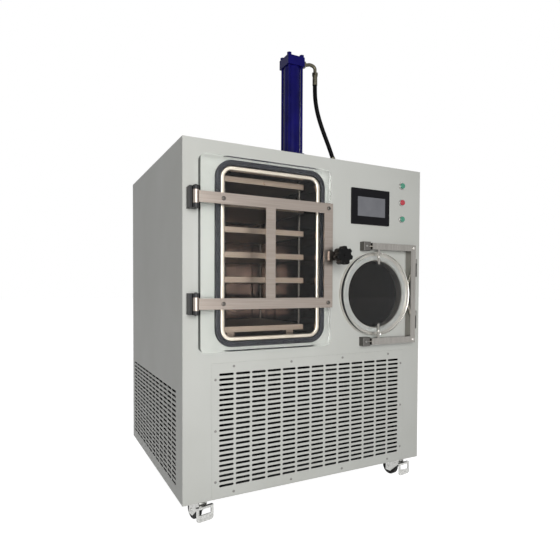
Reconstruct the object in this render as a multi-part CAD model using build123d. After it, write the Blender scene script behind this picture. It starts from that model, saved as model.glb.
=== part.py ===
from build123d import *
import math
import os

# Pilot freeze dryer on castors: a sheet-metal cabinet with a box drying chamber behind a clear door,
# a round cold trap behind a clear disc, and a hydraulic cylinder that closes the shelves to stopper vials.
# Millimetres. +X to the right of a person facing the front, +Y to the back, +Z up, floor at z = 0.
# The origin is on the floor, under the centre of the whole machine's outline.

# ---- cabinet ----
cabinet_width = 1057.0
cabinet_depth = 874.0
cabinet_height = 1250.0
caster_height = 88.0
sheet = 2.0
frame_angle = 40.0
frame_wall = 4.0
deck_height = 525.0
panel_gap = 0.3
lip_width = 24.0

# ---- ventilation slots ----
slot_length = 55.0
slot_height = 8.4
slot_pitch = 63.0
front_columns = 13
front_rows = 23
front_row_pitch = 17.9
front_slots_left = 131.0
front_slots_bottom = 40.0
side_columns = 12
side_rows = 20
side_row_pitch = 17.3
side_slots_front = 84.0
side_slots_bottom = 41.0
grille_border_x = 27.0
grille_border_top = 36.0
grille_border_bottom = 36.0

# ---- screws ----
screw_head_radius = 4.6
screw_head_height = 2.4
screw_radius = 2.0
screw_length = 9.0
screw_clearance = 0.2
recess_width = 0.9
recess_length = 5.2
recess_depth = 1.2
grille_screw_inset = 13.0
grille_screws_across = 4
grille_screws_up = 3
grille_screw_end_x = 82.0
grille_screw_end_z = 57.0

# ---- drying chamber ----
chamber_from_left = 329.0
chamber_centre_height = 860.5
mouth_width = 371.0
mouth_height = 580.0
mouth_radius = 28.0
chamber_wall = 6.0
rim_width = 16.0
rim_proud = 8.0
rim_rounding = 5.0
neck_depth = 26.0
chamber_depth = 462.0
neck_gap = 1.0
gasket_width = 18.0
gasket_proud = 14.0
seal_gap = 0.3
chamber_leg = 50.0

# ---- shelves ----
stack_offset = -7.0
shelf_width = 337.0
shelf_depth = 380.0
shelf_thickness = 20.0
shelf_pitch = 90.0
shelf_count = 5
shelf_setback = 45.0
shelf_radius = 4.0
base_shelf_lift = 11.5
base_pad = 30.0
pad_inset = 45.0
guide_radius = 4.0
guide_inset = 14.0
guide_gap = 0.3
eye_radius = 7.0
eye_length = 5.0

# ---- stoppering cylinder ----
press_from_left = 477.0
press_setback = 110.0
piston_rod_radius = 12.0
rod_gap = 0.1
boss_size = 82.0
boss_proud = 6.0
head_size = 74.0
head_height = 20.0
barrel_radius = 33.6
barrel_wall = 6.0
barrel_length = 332.0
cap_height = 44.0
cap_taper = 8.0
piston_height = 30.0
piston_gap = 0.1
tie_radius = 5.0
tie_spacing = 56.0
tie_gap = 0.3
nut_across = 17.0
nut_height = 10.0

# ---- pressure hose ----
hose_radius = 8.75
pipe_radius = 7.0
union_across = 24.0
union_length = 22.0
port_drop = 10.0
ferrule_radius = 10.0
ferrule_length = 39.0
swivel_height = 10.0
bulkhead_washer = 5.0
bulkhead_sleeve = 26.0
bulkhead_stem = 16.0
bulkhead_nut_height = 10.0
hose_tilt = 25.0

# ---- main door ----
pane_left = 50.0
pane_width = 518.0
pane_height = 670.0
pane_centre_height = 857.0
pane_thickness = 32.0
pane_bevel = 7.0
pane_radius = 20.0
strap_height = 38.0
strap_thickness = 6.0
upper_strap_height = 1044.0
lower_strap_height = 688.0
centre_bar_from_left = 305.0
latch_bar_from_left = 549.0
strap_bolt_left = 127.0
strap_bolt_radius = 5.0
strap_bolt_depth = 22.0
bolt_head_radius = 7.5
bolt_head_height = 4.5
bolt_gap = 0.3

# ---- main hinges ----
hinge_from_left = 34.0
hinge_setout = 41.0
knuckle_radius = 11.0
hinge_height = 72.0
strap_setback = 7.0
door_knuckle_height = 44.0
knuckle_gap = 0.4
hinge_pin_radius = 5.0
pin_gap = 0.08
pin_proud = 3.0
bracket_depth = 27.0
bracket_left = 13.5
bracket_width = 34.0
cheek_depth = 37.0
cheek_width = 8.0

# ---- door clamp ----
clamp_from_left = 587.0
clamp_height = 865.0
ear_height = 34.0
ear_reach = 20.0
ear_nut_radius = 14.0
ear_nut_height = 4.0
stud_radius = 6.0
stud_gap = 0.3
socket_radius = 15.0
socket_proud = 8.0
socket_gap = 0.6
stud_clear = 3.0
knob_radius = 35.5
knob_lobes = 7
knob_scallop_radius = 7.5
knob_lobe_rounding = 4.0
knob_edge_rounding = 3.0
knob_thickness = 30.0
knob_hub_radius = 13.0
knob_hub_height = 5.0
knob_bore_depth = 24.0
knob_bore_gap = 0.08
knob_cap_radius = 6.0
knob_cap_height = 2.0
knob_back_setout = 79.0

# ---- cold trap ----
trap_from_left = 805.0
trap_height = 719.5
trap_neck_radius = 137.0
trap_neck_depth = 25.0
trap_bore_radius = 146.0
trap_wall = 5.0
trap_depth = 420.0
trap_flange_radius = 170.0
trap_flange_proud = 8.0
trap_seal_inner = 140.0
trap_seal_outer = 156.0
trap_seal_height = 3.0
trap_pane_radius = 170.0
trap_pane_thickness = 20.0
trap_pane_bevel = 2.5
coil_pipe_radius = 8.0
coil_gap = 0.3
coil_turns = 6
coil_pitch = 30.0
coil_setback = 60.0
stay_width = 9.0
nozzle_radius = 20.0
nozzle_wall = 3.0
nozzle_setback = 279.0
nozzle_reach = 34.0
port_radius = 13.0
port_wall = 2.0
port_flange_radius = 20.0
port_flange_length = 5.0
port_proud = 30.0
port_gap = 2.0

# ---- trap yoke ----
yoke_arm_offset = 193.5
yoke_bar = 26.0
yoke_back = 4.0
yoke_front = 36.0
yoke_post_left = 977.0
yoke_arm_left = 773.0
finger_width = 10.0
finger_reach = 60.0
tongue_length = 14.0
tongue_thickness = 3.0
tongue_depth = 13.0
tongue_gap = 1.2
catch_width = 35.0
catch_height = 36.0
catch_gap = 2.5
catch_depth = 28.0
catch_screw_share = 0.4
trap_hinge_from_left = 1016.0
trap_hinge_setout = 17.0
trap_knuckle_radius = 7.0
trap_hinge_offset = 112.0
trap_hinge_height = 76.0
trap_hinge_split = 18.0
trap_pin_radius = 3.5
trap_leaf = 3.0
trap_leaf_width = 26.0
dome_radius = 6.0
dome_height = 4.0

# ---- control panel ----
hmi_from_left = 786.0
hmi_height = 1075.0
hmi_width = 194.0
hmi_tall = 145.0
hmi_proud = 6.0
hmi_radius = 4.0
hmi_body_inset = 7.0
hmi_body_depth = 40.0
hmi_gap = 0.5
screen_width = 140.0
screen_tall = 78.0
screen_thickness = 2.0
screen_from_hmi = 3.0
screen_gap = 0.2
button_from_left = 953.0
middle_button_height = 1107.5
button_pitch = 70.5
bezel_radius = 15.0
bezel_proud = 6.0
bezel_body_radius = 11.0
bezel_body_length = 28.0
pocket_depth = 5.0
cap_radius = 11.6
cap_gap = 0.4
cap_proud = 5.0
button_travel = 3.0
button_clear = 0.5
stem_radius = 7.0
stem_gap = 0.4
stem_length = 18.0

# ---- castors ----
caster_inset_x = 75.0
caster_inset_y = 44.0
caster_plate_length = 86.0
caster_plate_width = 66.0
caster_plate_thickness = 4.0
race_radius = 25.0
race_height = 6.0
race_gap = 0.4
wheel_radius = 35.0
wheel_width = 24.0
hub_radius = 24.0
hub_width = 21.0
axle_radius = 4.0
axle_gap = 0.08
fork_wall = 3.0
fork_gap = 1.5
fork_top = 4.0
caster_trail = 38.0
fork_end_reach = 13.0
fork_clearance = 17.0
fork_shoulder = 45.0
fork_heel = 16.0
fork_rim = 3.0
fork_swing = {"fl": 100.0, "fr": 98.0, "rl": 70.0, "rr": 115.0}
pedal_neck = 10.0
pedal_neck_width = 24.0
pedal_length = 21.0
pedal_width = 66.0
pedal_drop = 48.0
pedal_corner = 12.0
window_width = 46.0
window_height = 20.0
window_drop = 14.0
pedal_thickness = 3.5
pedal_pin_radius = 2.5
pedal_pin_inset = 6.0
pedal_pin_drop = 7.5
pedal_gap = 0.5

# ---- refrigeration ----
compressor_from_left = 250.0
compressor_setback = 560.0
compressor_radius = 105.0
compressor_height = 290.0
compressor_foot = 12.0
condenser_from_left = 535.0
condenser_setback = 70.0
condenser_width = 560.0
condenser_height = 400.0
condenser_depth = 66.0
condenser_lift = 40.0
fin_pitch = 28.0
fin_thickness = 6.0
fan_radius = 165.0
fan_gap = 6.0
fan_blades = 5
fan_hub_radius = 42.0
fan_depth = 40.0
fan_shaft_radius = 6.0
fan_shaft_gap = 0.08
motor_radius = 45.0
motor_length = 70.0
gland_radius = 12.0
gland_bore_radius = 6.6
gland_length = 22.0
gland_from_left = 140.0
gland_height = 470.0

# ---- places worked out from the sizes above ----
knob_front = knob_back_setout + knob_thickness + knob_cap_height
front = -(cabinet_depth + port_proud - knob_front) / 2
back = front + cabinet_depth
left = -cabinet_width / 2
right = cabinet_width / 2
bottom = caster_height
top = bottom + cabinet_height
inner_front = front + sheet
inner_back = back - sheet
chamber_x = left + chamber_from_left
chamber_z = bottom + chamber_centre_height
chamber_floor = chamber_z - mouth_height / 2
chamber_roof = chamber_z + mouth_height / 2
base_shelf_z = chamber_floor + base_shelf_lift
shelf_x = chamber_x + stack_offset
shelf_y = front + shelf_setback + shelf_depth / 2
press_plate_z = base_shelf_z + (shelf_count + 1) * shelf_pitch
press_x = left + press_from_left
press_y = front + press_setback
head_z = top + boss_proud
barrel_z = head_z + head_height
cap_z = barrel_z + barrel_length
cap_top = cap_z + cap_height
pane_back = front - gasket_proud - seal_gap
pane_front = pane_back - pane_thickness
strap_front = pane_front - strap_thickness
door_hinge_x = left + hinge_from_left
door_hinge_y = front - hinge_setout
clamp_x = left + clamp_from_left
clamp_z = bottom + clamp_height
trap_x = left + trap_from_left
trap_z = bottom + trap_height
trap_seal_front = front - trap_flange_proud - trap_seal_height
trap_pane_back = trap_seal_front - seal_gap
trap_pane_front = trap_pane_back - trap_pane_thickness
coil_radius = trap_bore_radius + trap_wall + coil_gap + coil_pipe_radius
trap_hinge_x = left + trap_hinge_from_left
trap_hinge_y = front - trap_hinge_setout
grille_left = left + front_slots_left - grille_border_x
grille_width = (front_columns - 1) * slot_pitch + slot_length + 2 * grille_border_x
grille_bottom = bottom + front_slots_bottom - grille_border_bottom
grille_height = ((front_rows - 1) * front_row_pitch + slot_height
                 + grille_border_top + grille_border_bottom)
port_end = back + port_proud


# ---- building blocks ----
def block(x_span, y_span, z_span):
    centre = Pos(sum(x_span) / 2, sum(y_span) / 2, sum(z_span) / 2)
    return centre * Box(x_span[1] - x_span[0], y_span[1] - y_span[0], z_span[1] - z_span[0])


def around(centre, size):
    return (centre - size / 2, centre + size / 2)


def slab_y(sketch, x, z, near, far):
    """A sketch drawn in X and Z, made solid from y = near to y = far."""
    plane = Plane(origin=(x, far, z), x_dir=(1, 0, 0), z_dir=(0, -1, 0))
    return extrude(plane * sketch, amount=far - near)


def slab_z(sketch, x, y, low, high):
    return extrude(Pos(x, y, low) * sketch, amount=high - low)


def rod_y(x, z, near, far, radius):
    return slab_y(Circle(radius), x, z, near, far)


def rod_z(x, y, low, high, radius):
    return slab_z(Circle(radius), x, y, low, high)


def ring_y(x, z, near, far, outer, inner):
    return slab_y(Circle(outer) - Circle(inner), x, z, near, far)


def rounded_slab(x, z, width, height, radius, near, far):
    return slab_y(RectangleRounded(width, height, radius), x, z, near, far)


def front_edges(solid):
    return solid.faces().sort_by(Axis.Y)[0].outer_wire().edges()


def save(node, shape):
    export_step(shape, "parts/" + node + ".step")


# ---- panels ----
def slot_wires(columns, rows, row_pitch):
    """Outlines of a field of round-ended slots, with the lower left slot's centre at the origin."""
    outline = SlotOverall(slot_length, slot_height).wire()
    places = [(i * slot_pitch, j * row_pitch) for i in range(columns) for j in range(rows)]
    return [Pos(x, y) * outline for x, y in places]


def perforated(width, height, wires):
    """A flat sheet with its lower left corner at the origin and one hole for each wire."""
    outline = (Pos(width / 2, height / 2) * Rectangle(width, height)).wire()
    return Face(outline, wires)


def grille_screw_points():
    """Screw centres round the grille, measured from its lower left corner."""
    run_x = grille_width - 2 * grille_screw_end_x
    run_z = grille_height - 2 * grille_screw_end_z
    across = [grille_screw_end_x + run_x * i / (grille_screws_across - 1) for i in range(grille_screws_across)]
    upward = [grille_screw_end_z + run_z * i / (grille_screws_up - 1) for i in range(grille_screws_up)]
    points = [(x, z) for x in across for z in (grille_screw_inset, grille_height - grille_screw_inset)]
    return points + [(x, z) for z in upward for x in (grille_screw_inset, grille_width - grille_screw_inset)]


def front_grille():
    first = Pos(grille_border_x + slot_length / 2, grille_border_bottom + slot_height / 2)
    wires = [first * w for w in slot_wires(front_columns, front_rows, front_row_pitch)]
    hole = Circle(screw_radius + screw_clearance).wire()
    wires += [Pos(x, z) * hole for x, z in grille_screw_points()]
    plane = Plane(origin=(grille_left, inner_front, grille_bottom), x_dir=(1, 0, 0), z_dir=(0, -1, 0))
    return extrude(plane * perforated(grille_width, grille_height, wires), amount=sheet)


def panel_screw(x, z, head_face):
    head = rod_y(x, z, head_face - screw_head_height, head_face, screw_head_radius)
    head = fillet(front_edges(head), screw_head_height * 0.45)
    outer = head_face - screw_head_height
    for width, tall in ((recess_length, recess_width), (recess_width, recess_length)):
        head -= slab_y(Rectangle(width, tall), x, z, outer - 1, outer + recess_depth)
    return head + rod_y(x, z, head_face, head_face + screw_length, screw_radius)


def panel_screws():
    """Cross-recessed screws round the grille and in the trap's two catches."""
    screws = [panel_screw(grille_left + x, grille_bottom + z, front) for x, z in grille_screw_points()]
    screws += [panel_screw(x, z, front - catch_depth) for x, z in catch_screw_points()]
    return Compound(screws)


def front_panel():
    panel = block((left, right), (front, inner_front), (bottom, top))
    # Opening for the grille, with a lip behind it that the grille screws to.
    grille_x = grille_left + grille_width / 2
    grille_z = grille_bottom + grille_height / 2
    lip_back = inner_front + sheet
    opening = Rectangle(grille_width + 2 * panel_gap, grille_height + 2 * panel_gap)
    lip = Rectangle(grille_width + lip_width, grille_height + 2 * (grille_bottom - bottom)) \
        - Rectangle(grille_width - 2 * lip_width, grille_height - 2 * lip_width)
    panel -= slab_y(opening, grille_x, grille_z, front - sheet, inner_front)
    panel += slab_y(lip, grille_x, grille_z, inner_front, lip_back)
    for x, z in grille_screw_points():
        radius = screw_radius + screw_clearance
        panel -= rod_y(grille_left + x, grille_bottom + z, front, lip_back + sheet, radius)
    # Openings for the chamber's neck, the trap's neck, the screen's body and the buttons.
    neck = 2 * (rim_width + neck_gap)
    panel -= rounded_slab(chamber_x, chamber_z, mouth_width + neck, mouth_height + neck,
                          mouth_radius + neck / 2, front - sheet, lip_back)
    panel -= rod_y(trap_x, trap_z, front - sheet, lip_back, trap_bore_radius + trap_wall + neck_gap)
    hmi_hole = Rectangle(hmi_width - 2 * hmi_body_inset, hmi_tall - 2 * hmi_body_inset)
    panel -= slab_y(hmi_hole, left + hmi_from_left, bottom + hmi_height, front - sheet, lip_back)
    for z in button_heights():
        panel -= rod_y(left + button_from_left, z, front - sheet, lip_back, bezel_body_radius + cap_gap)
    # Welded socket that the door clamp screws into.
    panel += rod_y(clamp_x, clamp_z, front - socket_proud, inner_front, socket_radius)
    panel -= rod_y(clamp_x, clamp_z, front - 2 * socket_proud, inner_front + sheet, stud_radius + socket_gap)
    return panel


def left_panel():
    """Side panel with the slots that the cooling air leaves by."""
    length = cabinet_depth - 2 * sheet
    first = Pos(side_slots_front - sheet + slot_length / 2, side_slots_bottom + slot_height / 2)
    wires = [first * w for w in slot_wires(side_columns, side_rows, side_row_pitch)]
    plane = Plane(origin=(left, inner_front, bottom), x_dir=(0, 1, 0), z_dir=(1, 0, 0))
    return extrude(plane * perforated(length, cabinet_height, wires), amount=sheet)


def right_panel():
    return block((right - sheet, right), (inner_front, inner_back), (bottom, top))


def rear_panel():
    wires = [Pos(trap_from_left, trap_height) * Circle(port_radius + port_wall + port_gap).wire()]
    wires += [Pos(gland_from_left, gland_height) * Circle(gland_radius + panel_gap).wire()]
    plane = Plane(origin=(left, back, bottom), x_dir=(1, 0, 0), z_dir=(0, -1, 0))
    panel = extrude(plane * perforated(cabinet_width, cabinet_height, wires), amount=sheet)
    # Cable gland for the supply lead. Its hexagon rests on the panel's outside.
    gland_x, gland_z = left + gland_from_left, bottom + gland_height
    gland = rod_y(gland_x, gland_z, back - sheet, back + gland_length, gland_radius)
    gland += slab_y(RegularPolygon(gland_radius * 1.3, 6), gland_x, gland_z, back, back + gland_length / 3)
    gland -= rod_y(gland_x, gland_z, back - 2 * sheet, back + 2 * gland_length, gland_bore_radius)
    return Compound([panel, gland])


def top_panel():
    panel = block((left + sheet, right - sheet), (inner_front, inner_back), (top - sheet, top))
    hole = boss_size + 2 * neck_gap
    panel -= block(around(press_x, hole), around(press_y, hole), (top - 2 * sheet, top + sheet))
    return panel - rod_z(bulkhead_x, press_y, top - 2 * sheet, top + sheet, bulkhead_stem / 2 + tie_gap)


# ---- welded frame ----
def angle_post(x, y, out_x, out_y, low, high):
    """An upright of angle iron with its corner at x, y and its legs pointing away from out_x, out_y."""
    leg_a = block(sorted((x, x - out_x * frame_angle)), sorted((y, y - out_y * frame_wall)), (low, high))
    leg_b = block(sorted((x, x - out_x * frame_wall)), sorted((y, y - out_y * frame_angle)), (low, high))
    return leg_a + leg_b


def rail_ring(z, x_span, y_span):
    """A level ring of flat rails, frame_angle wide, with its top face at z."""
    outer = block(x_span, y_span, (z - frame_wall, z))
    inner = block((x_span[0] + frame_angle, x_span[1] - frame_angle),
                  (y_span[0] + frame_angle, y_span[1] - frame_angle), (z - 2 * frame_wall, z + frame_wall))
    return outer - inner


def frame():
    """Angle-iron skeleton with a floor tray, a deck that carries the chamber, and a top ring."""
    x_span = (left + sheet, right - sheet)
    y_span = (inner_front + 2 * sheet, inner_back)
    low, high = bottom, top - sheet
    body = block(x_span, y_span, (low, low + frame_wall))
    for x, out_x in zip(x_span, (-1, 1)):
        for y, out_y in zip(y_span, (-1, 1)):
            body += angle_post(x, y, out_x, out_y, low, high)
    body += rail_ring(bottom + deck_height, x_span, y_span)
    body += rail_ring(high, x_span, y_span)
    # Two cross rails under the chamber's legs.
    for x in (chamber_x - mouth_width / 2 + chamber_leg / 2, chamber_x + mouth_width / 2 - chamber_leg / 2):
        body += block(around(x, chamber_leg), y_span, (bottom + deck_height - frame_wall, bottom + deck_height))
    return body


# ---- drying chamber ----
def chamber_hollow():
    return rounded_slab(chamber_x, chamber_z, mouth_width, mouth_height, mouth_radius,
                        front - 2 * rim_proud, front + chamber_depth - chamber_wall)


def drying_chamber():
    """Stainless box with a thick mouth rim, four legs on the deck and a boss that carries the cylinder."""
    width, height = mouth_width + 2 * chamber_wall, mouth_height + 2 * chamber_wall
    rear = front + chamber_depth
    shell = rounded_slab(chamber_x, chamber_z, width, height, mouth_radius + chamber_wall, front, rear)
    shell += block(around(press_x, boss_size), around(press_y, boss_size), (chamber_roof - chamber_wall, head_z))
    leg_low = bottom + deck_height
    for x in (chamber_x - mouth_width / 2 + chamber_leg / 2, chamber_x + mouth_width / 2 - chamber_leg / 2):
        for y in (front + 2 * chamber_leg, rear - chamber_leg):
            shell += block(around(x, chamber_leg), around(y, chamber_leg), (leg_low, chamber_floor))
    rim = rounded_slab(chamber_x, chamber_z, mouth_width + 2 * rim_width, mouth_height + 2 * rim_width,
                       mouth_radius + rim_width, front - rim_proud, front + neck_depth) - chamber_hollow()
    rim = fillet(rim.faces().sort_by(Axis.Y)[0].edges(), rim_rounding)
    shell = shell - chamber_hollow() + rim
    return shell - rod_z(press_x, press_y, chamber_z, head_z + sheet, piston_rod_radius + rod_gap)


def chamber_gasket():
    inner = 2 * (rim_width + panel_gap)
    outer = inner + 2 * gasket_width
    corner = mouth_radius + rim_width + panel_gap
    profile = RectangleRounded(mouth_width + outer, mouth_height + outer, corner + gasket_width)
    profile -= RectangleRounded(mouth_width + inner, mouth_height + inner, corner)
    ring = slab_y(profile, chamber_x, chamber_z, front - gasket_proud, front)
    return fillet(front_edges(ring), gasket_width / 5)


def corner_points(inset):
    """Four points, each the same inset from two edges of the shelves."""
    reach_x = shelf_width / 2 - inset
    reach_y = shelf_depth / 2 - inset
    return [(shelf_x + i * reach_x, shelf_y + j * reach_y) for i in (-1, 1) for j in (-1, 1)]


def plate(z):
    """A hollow heating plate of the shelf stack, drawn as the closed slab that it is from outside."""
    return slab_z(RectangleRounded(shelf_width, shelf_depth, shelf_radius), shelf_x, shelf_y, z,
                  z + shelf_thickness)


def sliding_plate(z):
    body = plate(z)
    for x, y in corner_points(guide_inset):
        body -= rod_z(x, y, z - 1, z + shelf_thickness + 1, guide_radius + guide_gap)
    return body


def base_shelf():
    body = plate(base_shelf_z)
    for x, y in corner_points(pad_inset):
        body += block(around(x, base_pad), around(y, base_pad), (chamber_floor, base_shelf_z))
    return body


def press_plate():
    eye = rod_y(shelf_x, press_plate_z + shelf_thickness / 2, front + shelf_setback - eye_length,
                front + shelf_setback, eye_radius)
    return sliding_plate(press_plate_z) + eye


def guide_rods():
    """Rods from the lowest shelf up to the chamber's roof, coped where they meet its rounded corners."""
    low = base_shelf_z + shelf_thickness
    rods = [rod_z(x, y, low, chamber_roof + 1, guide_radius) for x, y in corner_points(guide_inset)]
    return Compound([rod & chamber_hollow() for rod in rods])


# ---- stoppering cylinder ----
def piston_rod():
    bore = barrel_radius - barrel_wall
    piston_top = cap_z - rod_gap
    shaft = rod_z(press_x, press_y, press_plate_z + shelf_thickness, piston_top, piston_rod_radius)
    return shaft + rod_z(press_x, press_y, piston_top - piston_height, piston_top, bore - piston_gap)


def tie_points():
    return [(press_x + i * tie_spacing / 2, press_y + j * tie_spacing / 2) for i in (-1, 1) for j in (-1, 1)]


def square_end(low, high):
    body = block(around(press_x, head_size), around(press_y, head_size), (low, high))
    for x, y in tie_points():
        body -= rod_z(x, y, low - 1, high + 1, tie_radius + tie_gap)
    return body


def cylinder_head():
    return square_end(head_z, barrel_z) - rod_z(press_x, press_y, head_z - 1, barrel_z + 1,
                                                piston_rod_radius + rod_gap)


def cylinder_barrel():
    return rod_z(press_x, press_y, barrel_z, cap_z, barrel_radius) \
        - rod_z(press_x, press_y, barrel_z - 1, cap_z + 1, barrel_radius - barrel_wall)


def cylinder_cap():
    """Square end block whose lower part is a little smaller than the rest."""
    body = square_end(cap_z + cap_taper, cap_top)
    neck = rod_z(press_x, press_y, cap_z, cap_z + cap_taper, head_size / 2 - cap_taper / 2)
    for x, y in tie_points():
        neck -= rod_z(x, y, cap_z - 1, cap_top, tie_radius + tie_gap)
    return body + neck


def tie_rods():
    rods = []
    for x, y in tie_points():
        rod = rod_z(x, y, head_z, cap_top + nut_height, tie_radius)
        nut = slab_z(RegularPolygon(nut_across / 2, 6, major_radius=False), x, y, cap_top, cap_top + nut_height)
        rods.append(rod + fillet(nut.faces().sort_by(Axis.Z)[-1].edges(), 2))
    return Compound(rods)


# ---- hose and its fittings ----
port_z = cap_top - port_drop
elbow_start_x = press_x + head_size / 2
# The elbow pipe leaves the cap level, humps up and turns down over the hose.
elbow_points = [(elbow_start_x, port_z), (elbow_start_x + 24, port_z), (elbow_start_x + 46, port_z + 8),
                (elbow_start_x + 70, port_z + 2), (elbow_start_x + 70, port_z - 22)]
ferrule_top = elbow_points[-1][1]
hose_top_x = elbow_points[-1][0]
hose_top_z = ferrule_top - swivel_height - ferrule_length
# Points of the hose's line in the plane y = press_y, as (x, height above the cabinet's top).
hose_points = [(hose_top_x, hose_top_z - top), (hose_top_x, 285.0), (589.2 + left, 243.0), (600.5 + left, 200.0),
               (617.2 + left, 158.0), (636.6 + left, 117.0), (656.6 + left, 76.5), (672.2 + left, 40.0)]
hose_line = [Vector(x, press_y, top + z) for x, z in hose_points]
last_run = (hose_line[-1] - hose_line[-2]).normalized()
sleeve_foot = hose_line[-1] + last_run * bulkhead_sleeve
bulkhead_x = sleeve_foot.X


def corner_radii(points):
    """The largest arc that each corner's two runs allow."""
    radii = []
    for before, corner, after in zip(points, points[1:], points[2:]):
        first, second = corner - before, after - corner
        turn = math.radians(first.get_angle(second))
        radii.append(0.45 * min(first.length, second.length) / math.tan(turn / 2))
    return radii


def tube_along(points, radii, radius):
    path = FilletPolyline(*points, radius=radii)
    start = Plane(origin=points[0], z_dir=points[1] - points[0])
    return sweep(start * Circle(radius), path=path)


def hose_elbow():
    line = [Vector(x, press_y, z) for x, z in elbow_points]
    across = Plane(origin=(elbow_start_x, press_y, port_z), x_dir=(0, 1, 0), z_dir=(1, 0, 0))
    body = tube_along(line, corner_radii(line), pipe_radius)
    body += extrude(across * RegularPolygon(union_across / 2, 6, major_radius=False), amount=union_length)
    swivel = RegularPolygon(ferrule_radius * 1.15, 6, major_radius=False)
    body += slab_z(swivel, hose_top_x, press_y, ferrule_top - swivel_height, ferrule_top)
    ferrule = rod_z(hose_top_x, press_y, hose_top_z, ferrule_top - swivel_height, ferrule_radius)
    groove = ring_z(hose_top_x, press_y, ferrule_radius + 1, ferrule_radius - 1.2, 3)
    for step in (1, 2, 3):
        ferrule -= Pos(0, 0, hose_top_z + ferrule_length * step / 4) * groove
    return body + ferrule


def ring_z(x, y, outer, inner, height):
    return slab_z(Circle(outer) - Circle(inner), x, y, -height / 2, height / 2)


def pressure_hose():
    radii = corner_radii(hose_line)
    hose = tube_along(hose_line, radii, hose_radius)
    length = FilletPolyline(*hose_line, radius=radii).length
    print("hose radii", [round(r) for r in radii], "length", round(length, 1))
    print("hose volume ratio", round(hose.volume / (math.pi * hose_radius ** 2 * length), 4))
    return hose


def hose_bulkhead():
    """Bulkhead fitting whose sleeve leans along the hose and whose stem passes down through the top."""
    sleeve_plane = Plane(origin=hose_line[-1], z_dir=last_run)
    reach = (hose_line[-1].Z - top - bulkhead_washer / 2) / -last_run.Z
    body = extrude(sleeve_plane * Circle(ferrule_radius), amount=reach)
    body += rod_z(bulkhead_x, press_y, top, top + bulkhead_washer, ferrule_radius * 1.7)
    body += rod_z(bulkhead_x, press_y, top - sheet - bulkhead_nut_height, top, bulkhead_stem / 2)
    nut = RegularPolygon(bulkhead_stem * 0.8, 6, major_radius=False)
    return body + slab_z(nut, bulkhead_x, press_y, top - sheet - bulkhead_nut_height, top - sheet)


# ---- main door ----
def strap_levels():
    return (bottom + upper_strap_height, bottom + lower_strap_height)


def strap_bolt_points():
    columns = (left + strap_bolt_left, left + latch_bar_from_left)
    return [(x, z) for x in columns for z in strap_levels()]


def door_pane():
    slab = rounded_slab(left + pane_left + pane_width / 2, bottom + pane_centre_height, pane_width, pane_height,
                        pane_radius, pane_front, pane_back)
    slab = chamfer(front_edges(slab), pane_bevel)
    for x, z in strap_bolt_points():
        slab -= rod_y(x, z, pane_front - 1, pane_front + strap_bolt_depth, strap_bolt_radius + bolt_gap)
    return slab


def door_knuckle(z):
    body = rod_z(door_hinge_x, door_hinge_y, z - door_knuckle_height / 2, z + door_knuckle_height / 2,
                 knuckle_radius)
    return body


def door_straps():
    """Welded stainless frame that carries the pane: two straps, two uprights, knuckles and the clamp's ear."""
    pane_right = left + pane_left + pane_width
    y_span = (strap_front, pane_front)
    body = None
    for z in strap_levels():
        strap = block((door_hinge_x + strap_setback, pane_right), y_span, around(z, strap_height)) + door_knuckle(z)
        body = strap if body is None else body + strap
    upright_z = (bottom + lower_strap_height, bottom + upper_strap_height)
    for x in (left + centre_bar_from_left, left + latch_bar_from_left):
        body += block(around(x, strap_height), y_span, upright_z)
    ear_span = (left + latch_bar_from_left, clamp_x + ear_reach)
    body += block(ear_span, (strap_front - strap_thickness, strap_front), around(clamp_z, ear_height))
    body += rod_y(clamp_x, clamp_z, strap_front - strap_thickness - ear_nut_height, strap_front, ear_nut_radius)
    body -= rod_y(clamp_x, clamp_z, front - knob_front, front, stud_radius + stud_gap)
    for z in strap_levels():
        body -= rod_z(door_hinge_x, door_hinge_y, z - hinge_height, z + hinge_height, hinge_pin_radius + pin_gap)
    for x, z in strap_bolt_points():
        body -= rod_y(x, z, strap_front - 1, pane_front + 1, strap_bolt_radius + bolt_gap)
    return body


def strap_bolt(x, z):
    head = rod_y(x, z, strap_front - bolt_head_height, strap_front, bolt_head_radius)
    head = fillet(front_edges(head), bolt_head_height * 0.6)
    shank = rod_y(x, z, strap_front, pane_front + strap_bolt_depth - 1, strap_bolt_radius)
    socket = slab_y(RegularPolygon(bolt_head_radius * 0.42, 6), x, z, strap_front - 2 * bolt_head_height,
                    strap_front - bolt_head_height * 0.3)
    return head + shank - socket


def strap_bolts():
    return Compound([strap_bolt(x, z) for x, z in strap_bolt_points()])


def hinge_bracket(z):
    """Fixed half of a main hinge: a block on the front panel, a cheek, two knuckles and the pin."""
    web = block((left + bracket_left, left + bracket_left + bracket_width), (front - bracket_depth, front),
                around(z, hinge_height))
    knuckle_height = (hinge_height - door_knuckle_height) / 2 - knuckle_gap
    body = web + block((left + bracket_left, left + bracket_left + cheek_width), (front - cheek_depth, front),
                       around(z, hinge_height))
    for low in (z - hinge_height / 2, z + hinge_height / 2 - knuckle_height):
        body += rod_z(door_hinge_x, door_hinge_y, low, low + knuckle_height, knuckle_radius)
        body += block(around(door_hinge_x, 1.7 * knuckle_radius), (door_hinge_y, front - bracket_depth),
                      (low, low + knuckle_height))
    pin = rod_z(door_hinge_x, door_hinge_y, z - hinge_height / 2 - pin_proud, z + hinge_height / 2 + pin_proud,
                hinge_pin_radius)
    return body + pin


def hinge_brackets():
    return Compound([hinge_bracket(z) for z in strap_levels()])


def clamp_stud():
    tip = front - socket_proud - stud_clear
    return rod_y(clamp_x, clamp_z, front - knob_back_setout - knob_bore_depth + knob_hub_height + knob_cap_height,
                 tip, stud_radius)


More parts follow.
